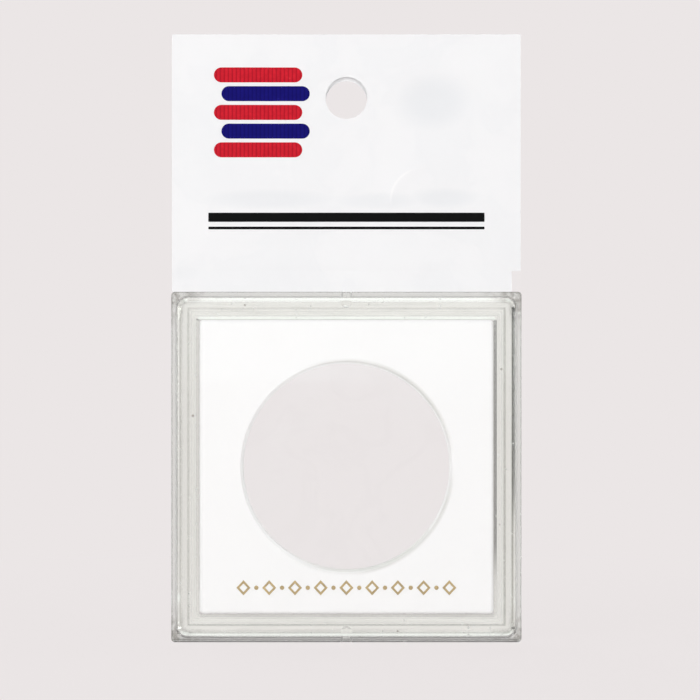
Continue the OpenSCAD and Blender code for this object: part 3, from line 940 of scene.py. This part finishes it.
# floor, light and camera (m)
studio = {
    "background": (0.831, 0.791, 0.791), "white": (1.0, 1.0, 1.0), "dark": (0.03, 0.03, 0.03),
    "worldFill": 0.36, "screenBefore": (0.2, 0.6), "screenAbove": (0.12, 0.4),
    # a dark stand on the left, by direction: where it starts and ends, and what is left of it beyond
    "leftDark": 0.9, "leftFrom": (0.385, 0.425), "leftTo": (0.46, 0.495), "leftRest": 0.1,
    "rightDark": 0.68, "rightFrom": (0.45, 0.5), "darkFrom": (0.15, 0.4),
    "floorHalf": 6.0, "floorFade": (0.02, 0.3), "floorGlow": 0.88, "plasticFade": (0.005, 0.013),
    # painted contact shadow on the floor behind the case, seen through clear plastic
    "contactShadow": 0.45, "contactReach": (0.004, 0.012), "contactAside": (0.031, 0.037),
    "cardFrom": (0.095, 0.11), "cardTo": (0.14, 0.155), "cardAside": (0.0305, 0.034),
    # name, place, size, power, and whether gloss and clear plastic pick the lamp up
    "lamps": [("key_lamp", (-0.48, -0.65, 0.32), 0.45, 2.75, True),
              ("fill_lamp", (0.52, -0.68, 0.16), 0.45, 2.3, True),
              ("top_lamp", (0.05, 0.1, 0.8), 0.6, 1.9, True),
              ("back_lamp", (-0.3, 0.72, 0.35), 0.5, 2.2, False)],
    "lampAim": (0, 0, 0.05),
    "distance": 0.72, "across": 0.1303, "aim": (0.00067, 0.0, 0.0542), "sensor": 36, "clip": (0.01, 100),
    "bounces": 24,
}


# rays that should meet the plain background: the camera's own, and those through or off clear plastic
def backgroundRays(tree):
    path = addNode(tree, "ShaderNodeLightPath")
    camera = path.outputs["Is Camera Ray"]
    plastic = doMath(tree, "ADD", path.outputs["Is Glossy Ray"], path.outputs["Is Transmission Ray"],
                     clamp=True)
    first = doMath(tree, "LESS_THAN", path.outputs["Diffuse Depth"], 0.5)
    first = times(tree, first, doMath(tree, "SUBTRACT", 1.0, camera))
    plastic = times(tree, plastic, first)
    return doMath(tree, "ADD", camera, plastic, clamp=True), plastic


# a dark stand on the left and a darker room on the right, which only clear plastic and gloss pick up
def roomShade(tree, rightward, plastic):
    leftward = times(tree, rightward, -1.0)
    left = times(tree, rampBetween(tree, leftward, *studio["leftFrom"], 0.0, studio["leftDark"]),
                 rampBetween(tree, leftward, *studio["leftTo"], 1.0, studio["leftRest"]))
    right = rampBetween(tree, rightward, *studio["rightFrom"], 0.0, studio["rightDark"])
    return times(tree, largest(tree, left, right), plastic)


def makeWorld():
    world = bpy.data.worlds.new("soft_studio")
    world.use_nodes = True
    tree = world.node_tree
    tree.nodes.clear()
    seen, plastic = backgroundRays(tree)
    x, y, z = splitXyz(tree, addNode(tree, "ShaderNodeTexCoord").outputs["Generated"])
    # white screens before and above the set
    screens = largest(tree, rampBetween(tree, times(tree, y, -1.0), *studio["screenBefore"]),
                      rampBetween(tree, z, *studio["screenAbove"]))
    shown = mixColor(tree, times(tree, screens, plastic), studio["background"], studio["white"])
    shown = mixColor(tree, roomShade(tree, x, plastic), shown, studio["dark"])
    fill = studio["worldFill"]
    backdrop = addNode(tree, "ShaderNodeBackground", {"Strength": 1.0})
    tree.links.new(mixColor(tree, seen, (fill, fill, fill), shown), backdrop.inputs["Color"])
    output = addNode(tree, "ShaderNodeOutputWorld")
    tree.links.new(backdrop.outputs[0], output.inputs["Surface"])
    bpy.context.scene.world = world


def makeFloor():
    half = studio["floorHalf"]
    corners = [(-half, -half, 0), (half, -half, 0), (half, half, 0), (-half, half, 0)]
    mesh = bpy.data.meshes.new("floor")
    mesh.from_pydata(corners, [], [(0, 1, 2, 3)])
    material, tree, coords, output = startMaterial("pale_floor")
    seen, plastic = backgroundRays(tree)
    length = addNode(tree, "ShaderNodeVectorMath", operation="LENGTH")
    tree.links.new(coords, length.inputs[0])
    away = length.outputs["Value"]
    x, y, _ = splitXyz(tree, coords)
    sideways, behind = doMath(tree, "ABSOLUTE", x), doMath(tree, "ABSOLUTE", y)
    # close by, clear plastic meets the true shadow, and a painted contact shadow darkens the floor where the
    # case stands
    plain = times(tree, rampBetween(tree, away, *studio["floorFade"], studio["floorGlow"], 1.0),
                  doMath(tree, "SUBTRACT", seen, plastic))
    through = times(tree, rampBetween(tree, behind, *studio["plasticFade"]), plastic)
    fade = doMath(tree, "ADD", plain, through, clamp=True)
    contactShadow = times(tree, rampBetween(tree, behind, *studio["contactReach"], studio["contactShadow"], 0.0),
                    rampBetween(tree, sideways, *studio["contactAside"], 1.0, 0.0), plastic)
    matt = addNode(tree, "ShaderNodeBsdfDiffuse")
    tree.links.new(mixColor(tree, contactShadow, studio["background"], studio["dark"]), matt.inputs["Color"])
    way = addNode(tree, "ShaderNodeVectorMath", operation="NORMALIZE")
    tree.links.new(coords, way.inputs[0])
    wayX, _, _ = splitXyz(tree, way.outputs["Vector"])
    dark = times(tree, roomShade(tree, wayX, plastic), rampBetween(tree, away, *studio["darkFrom"]))
    # a white card lies behind the case
    card = times(tree, rampBetween(tree, y, *studio["cardFrom"]),
                 rampBetween(tree, y, *studio["cardTo"], 1.0, 0.0),
                 rampBetween(tree, sideways, *studio["cardAside"], 1.0, 0.0), plastic)
    shown = mixColor(tree, card, studio["background"], studio["white"])
    glow = addNode(tree, "ShaderNodeEmission", {"Strength": 1.0})
    tree.links.new(mixColor(tree, dark, shown, studio["dark"]), glow.inputs["Color"])
    mix = addNode(tree, "ShaderNodeMixShader")
    tree.links.new(fade, mix.inputs[0])
    tree.links.new(matt.outputs[0], mix.inputs[1])
    tree.links.new(glow.outputs[0], mix.inputs[2])
    tree.links.new(mix.outputs[0], output.inputs["Surface"])
    mesh.materials.append(material)
    floor = bpy.data.objects.new("floor", mesh)
    bpy.context.scene.collection.objects.link(floor)


def makeLamps():
    target = Vector(studio["lampAim"])
    for name, place, size, power, mirrored in studio["lamps"]:
        lamp = bpy.data.lights.new(name, "AREA")
        lamp.shape = "SQUARE"
        lamp.size = size
        lamp.energy = power
        holder = bpy.data.objects.new(name, lamp)
        holder.location = place
        holder.rotation_euler = (target - Vector(place)).to_track_quat("-Z", "Y").to_euler()
        holder.visible_camera = False
        holder.visible_glossy = holder.visible_transmission = mirrored
        bpy.context.scene.collection.objects.link(holder)


def makeCamera():
    camera = bpy.data.cameras.new("camera")
    camera.sensor_width = studio["sensor"]
    camera.lens = studio["sensor"] * studio["distance"] / studio["across"]
    camera.clip_start, camera.clip_end = studio["clip"]
    holder = bpy.data.objects.new("camera", camera)
    holder.location = Vector(studio["aim"]) + Vector((0, -studio["distance"], 0))
    holder.rotation_euler = (math.radians(90), 0, 0)
    bpy.context.scene.collection.objects.link(holder)
    bpy.context.scene.camera = holder


makeWorld()
makeFloor()
makeLamps()
makeCamera()
scene = bpy.context.scene
scene.view_settings.view_transform = "Standard"
scene.cycles.max_bounces = studio["bounces"]
scene.cycles.transmission_bounces = studio["bounces"]
scene.cycles.transparent_max_bounces = studio["bounces"]
print("studio set")
